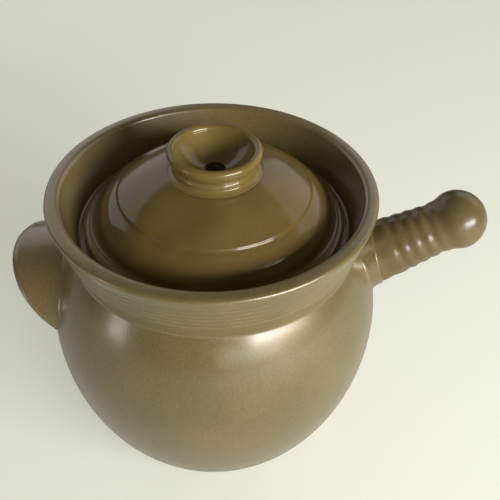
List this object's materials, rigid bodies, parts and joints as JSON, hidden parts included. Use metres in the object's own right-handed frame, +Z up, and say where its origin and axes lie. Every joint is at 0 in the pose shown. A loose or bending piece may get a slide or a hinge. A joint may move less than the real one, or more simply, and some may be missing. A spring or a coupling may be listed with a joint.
{
  "type": "lidded clay casserole pot",
  "caption": "Round-bellied stoneware casserole with a grooved collar band, a recessed domed lid with a vented knob, a long ribbed handle and a small arched ear",
  "frame": {"origin": "centre of the flat ring that the pot stands on, on the axis of the body", "axes": "+Z up along the axis of the body and lid, +X towards the long handle, -X towards the small ear"},
  "size_m": [0.3328, 0.238, 0.2538],
  "materials": {
    "satin_stoneware": "satin olive-brown speckled glaze",
    "glossy_stoneware": "glossy olive-brown glaze",
    "glazed_handle": "semi-gloss olive-brown glaze"
  },
  "bodies": {
    "pot": {"pot_body": "satin_stoneware", "handle_collar": "satin_stoneware", "long_handle": "glazed_handle", "ear_lug": "satin_stoneware"},
    "lid_assembly": {"lid": "glossy_stoneware", "lid_knob": "glossy_stoneware"}
  },
  "joints": [
    {"name": "lid_lift", "type": "slide", "parent": "pot", "child": "lid_assembly", "axis": [0, 0, 1], "range_m": [0, 0.12]}
  ]
}
